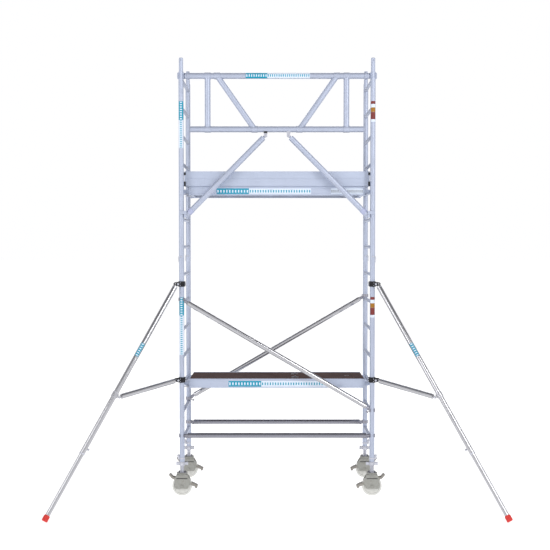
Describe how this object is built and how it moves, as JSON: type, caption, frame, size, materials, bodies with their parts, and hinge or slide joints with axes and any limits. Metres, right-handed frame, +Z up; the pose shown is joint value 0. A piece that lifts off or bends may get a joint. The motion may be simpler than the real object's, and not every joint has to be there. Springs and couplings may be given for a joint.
{
  "type": "mobile tower scaffold",
  "caption": "Mobile aluminium tower scaffold with ladder frames on braked castors, two hatch platforms, toe boards, an advance guardrail and outriggers.",
  "frame": {"origin": "on the floor, at the middle of the whole object's box", "axes": "+X to the right along the platforms, -Y to the guardrail and stabiliser side, +Z up"},
  "size_m": [4.3008, 1.8091, 4.402],
  "materials": {
    "frame_aluminium": "satin extruded",
    "beam_aluminium": "satin anodised",
    "rail_aluminium": "satin extruded",
    "brace_aluminium": "bright drawn",
    "claw_cast": "cast, tumbled",
    "zinc_steel": "zinc plated",
    "castor_plate": "grey pressed plate",
    "pedal_steel": "grey pressed plate",
    "wheel_plastic": "natural nylon",
    "clamp_black": "black powder coat",
    "bracket_black": "moulded",
    "plywood": "phenolic film, fine mesh",
    "foot_red": "moulded"
  },
  "bodies": {
    "tower": {"lower_left_frame": "frame_aluminium", "lower_right_frame": "frame_aluminium", "upper_left_frame": "frame_aluminium", "upper_right_frame": "frame_aluminium", "spigots": "frame_aluminium", "stem_locks": "zinc_steel", "lower_platform_frame": "beam_aluminium", "lower_platform_deck": "plywood", "upper_platform_frame": "beam_aluminium", "upper_platform_deck": "plywood", "toe_boards": "beam_aluminium", "toe_board_brackets": "bracket_black", "guardrail_frame": "rail_aluminium", "guardrail_claws": "rail_aluminium", "guardrail_hinges": "zinc_steel", "horizontal_braces": "brace_aluminium", "diagonal_braces": "brace_aluminium", "brace_claws": "claw_cast"},
    "clip_front_left": {"clip_front_left": "zinc_steel"},
    "clip_front_right": {"clip_front_right": "zinc_steel"},
    "clip_back_left": {"clip_back_left": "zinc_steel"},
    "clip_back_right": {"clip_back_right": "zinc_steel"},
    "castor_fl_nut": {"castor_fl_nut": "zinc_steel"},
    "castor_fl_stem": {"castor_fl_stem": "zinc_steel"},
    "castor_fl_fork": {"castor_fl_fork": "castor_plate"},
    "castor_fl_wheel": {"castor_fl_wheel": "wheel_plastic"},
    "castor_fl_brake": {"castor_fl_brake": "pedal_steel"},
    "castor_fr_nut": {"castor_fr_nut": "zinc_steel"},
    "castor_fr_stem": {"castor_fr_stem": "zinc_steel"},
    "castor_fr_fork": {"castor_fr_fork": "castor_plate"},
    "castor_fr_wheel": {"castor_fr_wheel": "wheel_plastic"},
    "castor_fr_brake": {"castor_fr_brake": "pedal_steel"},
    "castor_bl_nut": {"castor_bl_nut": "zinc_steel"},
    "castor_bl_stem": {"castor_bl_stem": "zinc_steel"},
    "castor_bl_fork": {"castor_bl_fork": "castor_plate"},
    "castor_bl_wheel": {"castor_bl_wheel": "wheel_plastic"},
    "castor_bl_brake": {"castor_bl_brake": "pedal_steel"},
    "castor_br_nut": {"castor_br_nut": "zinc_steel"},
    "castor_br_stem": {"castor_br_stem": "zinc_steel"},
    "castor_br_fork": {"castor_br_fork": "castor_plate"},
    "castor_br_wheel": {"castor_br_wheel": "wheel_plastic"},
    "castor_br_brake": {"castor_br_brake": "pedal_steel"},
    "lower_platform_hatch": {"lower_platform_hatch": "plywood"},
    "lower_platform_windlock": {"lower_platform_windlock": "zinc_steel"},
    "upper_platform_hatch": {"upper_platform_hatch": "plywood"},
    "upper_platform_windlock": {"upper_platform_windlock": "zinc_steel"},
    "guardrail_strut_left": {"guardrail_strut_left": "rail_aluminium"},
    "guardrail_strut_right": {"guardrail_strut_right": "rail_aluminium"},
    "stabiliser_left_brace": {"stabiliser_left_clamps": "clamp_black", "stabiliser_left_tube": "brace_aluminium", "stabiliser_left_arm": "brace_aluminium"},
    "stabiliser_left_leg": {"stabiliser_left_leg": "brace_aluminium", "stabiliser_left_foot": "foot_red"},
    "stabiliser_left_button": {"stabiliser_left_button": "zinc_steel"},
    "stabiliser_right_brace": {"stabiliser_right_clamps": "clamp_black", "stabiliser_right_tube": "brace_aluminium", "stabiliser_right_arm": "brace_aluminium"},
    "stabiliser_right_leg": {"stabiliser_right_leg": "brace_aluminium", "stabiliser_right_foot": "foot_red"},
    "stabiliser_right_button": {"stabiliser_right_button": "zinc_steel"}
  },
  "joints": [
    {"name": "clip_front_left_pull", "type": "slide", "parent": "tower", "child": "clip_front_left", "axis": [0, -1, 0], "range_m": [0, 0.07]},
    {"name": "clip_front_right_pull", "type": "slide", "parent": "tower", "child": "clip_front_right", "axis": [0, -1, 0], "range_m": [0, 0.07]},
    {"name": "clip_back_left_pull", "type": "slide", "parent": "tower", "child": "clip_back_left", "axis": [0, -1, 0], "range_m": [0, 0.07]},
    {"name": "clip_back_right_pull", "type": "slide", "parent": "tower", "child": "clip_back_right", "axis": [0, -1, 0], "range_m": [0, 0.07]},
    {"name": "castor_fl_nut_turn", "type": "hinge", "parent": "tower", "child": "castor_fl_nut", "pos_m": [-0.96, 0.0996, 0.323], "axis": [0, 0, 1], "range_deg": [0, 9000]},
    {"name": "castor_fl_stem_slide", "type": "slide", "parent": "tower", "child": "castor_fl_stem", "axis": [0, 0, -1], "range_m": [0, 0.2]},
    {"name": "castor_fl_swivel", "type": "hinge", "parent": "castor_fl_stem", "child": "castor_fl_fork", "pos_m": [-0.96, 0.0996, 0.22], "axis": [0, 0, 1], "continuous": true},
    {"name": "castor_fl_wheel_spin", "type": "hinge", "parent": "castor_fl_fork", "child": "castor_fl_wheel", "pos_m": [-0.96, 0.0996, 0.1], "axis": [0, 1, 0], "continuous": true},
    {"name": "castor_fl_brake_pedal", "type": "hinge", "parent": "castor_fl_fork", "child": "castor_fl_brake", "pos_m": [-0.947, 0.0996, 0.151], "axis": [0, -1, 0], "range_deg": [0, 9]},
    {"name": "castor_fr_nut_turn", "type": "hinge", "parent": "tower", "child": "castor_fr_nut", "pos_m": [0.96, 0.0996, 0.323], "axis": [0, 0, 1], "range_deg": [0, 9000]},
    {"name": "castor_fr_stem_slide", "type": "slide", "parent": "tower", "child": "castor_fr_stem", "axis": [0, 0, -1], "range_m": [0, 0.2]},
    {"name": "castor_fr_swivel", "type": "hinge", "parent": "castor_fr_stem", "child": "castor_fr_fork", "pos_m": [0.96, 0.0996, 0.22], "axis": [0, 0, 1], "continuous": true},
    {"name": "castor_fr_wheel_spin", "type": "hinge", "parent": "castor_fr_fork", "child": "castor_fr_wheel", "pos_m": [0.96, 0.0996, 0.1], "axis": [0, 1, 0], "continuous": true},
    {"name": "castor_fr_brake_pedal", "type": "hinge", "parent": "castor_fr_fork", "child": "castor_fr_brake", "pos_m": [0.947, 0.0996, 0.151], "axis": [0, 1, 0], "range_deg": [0, 9]},
    {"name": "castor_bl_nut_turn", "type": "hinge", "parent": "tower", "child": "castor_bl_nut", "pos_m": [-0.96, 0.8496, 0.323], "axis": [0, 0, 1], "range_deg": [0, 9000]},
    {"name": "castor_bl_stem_slide", "type": "slide", "parent": "tower", "child": "castor_bl_stem", "axis": [0, 0, -1], "range_m": [0, 0.2]},
    {"name": "castor_bl_swivel", "type": "hinge", "parent": "castor_bl_stem", "child": "castor_bl_fork", "pos_m": [-0.96, 0.8496, 0.22], "axis": [0, 0, 1], "continuous": true},
    {"name": "castor_bl_wheel_spin", "type": "hinge", "parent": "castor_bl_fork", "child": "castor_bl_wheel", "pos_m": [-0.96, 0.8496, 0.1], "axis": [0, 1, 0], "continuous": true},
    {"name": "castor_bl_brake_pedal", "type": "hinge", "parent": "castor_bl_fork", "child": "castor_bl_brake", "pos_m": [-0.947, 0.8496, 0.151], "axis": [0, -1, 0], "range_deg": [0, 9]},
    {"name": "castor_br_nut_turn", "type": "hinge", "parent": "tower", "child": "castor_br_nut", "pos_m": [0.96, 0.8496, 0.323], "axis": [0, 0, 1], "range_deg": [0, 9000]},
    {"name": "castor_br_stem_slide", "type": "slide", "parent": "tower", "child": "castor_br_stem", "axis": [0, 0, -1], "range_m": [0, 0.2]},
    {"name": "castor_br_swivel", "type": "hinge", "parent": "castor_br_stem", "child": "castor_br_fork", "pos_m": [0.96, 0.8496, 0.22], "axis": [0, 0, 1], "continuous": true},
    {"name": "castor_br_wheel_spin", "type": "hinge", "parent": "castor_br_fork", "child": "castor_br_wheel", "pos_m": [0.96, 0.8496, 0.1], "axis": [0, 1, 0], "continuous": true},
    {"name": "castor_br_brake_pedal", "type": "hinge", "parent": "castor_br_fork", "child": "castor_br_brake", "pos_m": [0.947, 0.8496, 0.151], "axis": [0, 1, 0], "range_deg": [0, 9]},
    {"name": "lower_platform_hatch_open", "type": "hinge", "parent": "tower", "child": "lower_platform_hatch", "pos_m": [0.19, 0.4746, 1.173], "axis": [0, -1, 0], "range_deg": [0, 100]},
    {"name": "lower_platform_windlock_release", "type": "hinge", "parent": "tower", "child": "lower_platform_windlock", "pos_m": [-0.914, 0.4746, 1.087], "axis": [0, -1, 0], "range_deg": [0, 70]},
    {"name": "upper_platform_hatch_open", "type": "hinge", "parent": "tower", "child": "upper_platform_hatch", "pos_m": [0.19, 0.4746, 3.133], "axis": [0, -1, 0], "range_deg": [0, 100]},
    {"name": "upper_platform_windlock_release", "type": "hinge", "parent": "tower", "child": "upper_platform_windlock", "pos_m": [-0.914, 0.4746, 3.047], "axis": [0, -1, 0], "range_deg": [0, 70]},
    {"name": "guardrail_strut_left_swing", "type": "hinge", "parent": "tower", "child": "guardrail_strut_left", "pos_m": [-0.115, 0.0996, 3.6305], "axis": [0, -1, 0], "range_deg": [0, 44]},
    {"name": "guardrail_strut_right_swing", "type": "hinge", "parent": "tower", "child": "guardrail_strut_right", "pos_m": [0.115, 0.0996, 3.6305], "axis": [0, 1, 0], "range_deg": [0, 44]},
    {"name": "stabiliser_left_swing", "type": "hinge", "parent": "tower", "child": "stabiliser_left_brace", "pos_m": [-0.96, 0.0996, 1.6], "axis": [0, 0, 1], "range_deg": [-35, 45]},
    {"name": "stabiliser_left_extend", "type": "slide", "parent": "stabiliser_left_brace", "child": "stabiliser_left_leg", "axis": [-0.4331, -0.3634, -0.8248], "range_m": [-0.5, 0.375]},
    {"name": "stabiliser_left_knob_pull", "type": "slide", "parent": "stabiliser_left_brace", "child": "stabiliser_left_button", "axis": [0.6318, 0.5302, -0.5654], "range_m": [-0.0045, 0.008], "stiffness_N_per_m": 1500},
    {"name": "stabiliser_right_swing", "type": "hinge", "parent": "tower", "child": "stabiliser_right_brace", "pos_m": [0.96, 0.0996, 1.6], "axis": [0, 0, -1], "range_deg": [-35, 45]},
    {"name": "stabiliser_right_extend", "type": "slide", "parent": "stabiliser_right_brace", "child": "stabiliser_right_leg", "axis": [0.4331, -0.3634, -0.8248], "range_m": [-0.5, 0.375]},
    {"name": "stabiliser_right_knob_pull", "type": "slide", "parent": "stabiliser_right_brace", "child": "stabiliser_right_button", "axis": [-0.6318, 0.5302, -0.5654], "range_m": [-0.0045, 0.008], "stiffness_N_per_m": 1500}
  ],
  "couplings": [
    {"joint": "castor_fl_stem_slide", "follows": "castor_fl_nut_turn", "m_per_rad": 0.0012732},
    {"joint": "castor_fr_stem_slide", "follows": "castor_fr_nut_turn", "m_per_rad": 0.0012732},
    {"joint": "castor_bl_stem_slide", "follows": "castor_bl_nut_turn", "m_per_rad": 0.0012732},
    {"joint": "castor_br_stem_slide", "follows": "castor_br_nut_turn", "m_per_rad": 0.0012732}
  ]
}
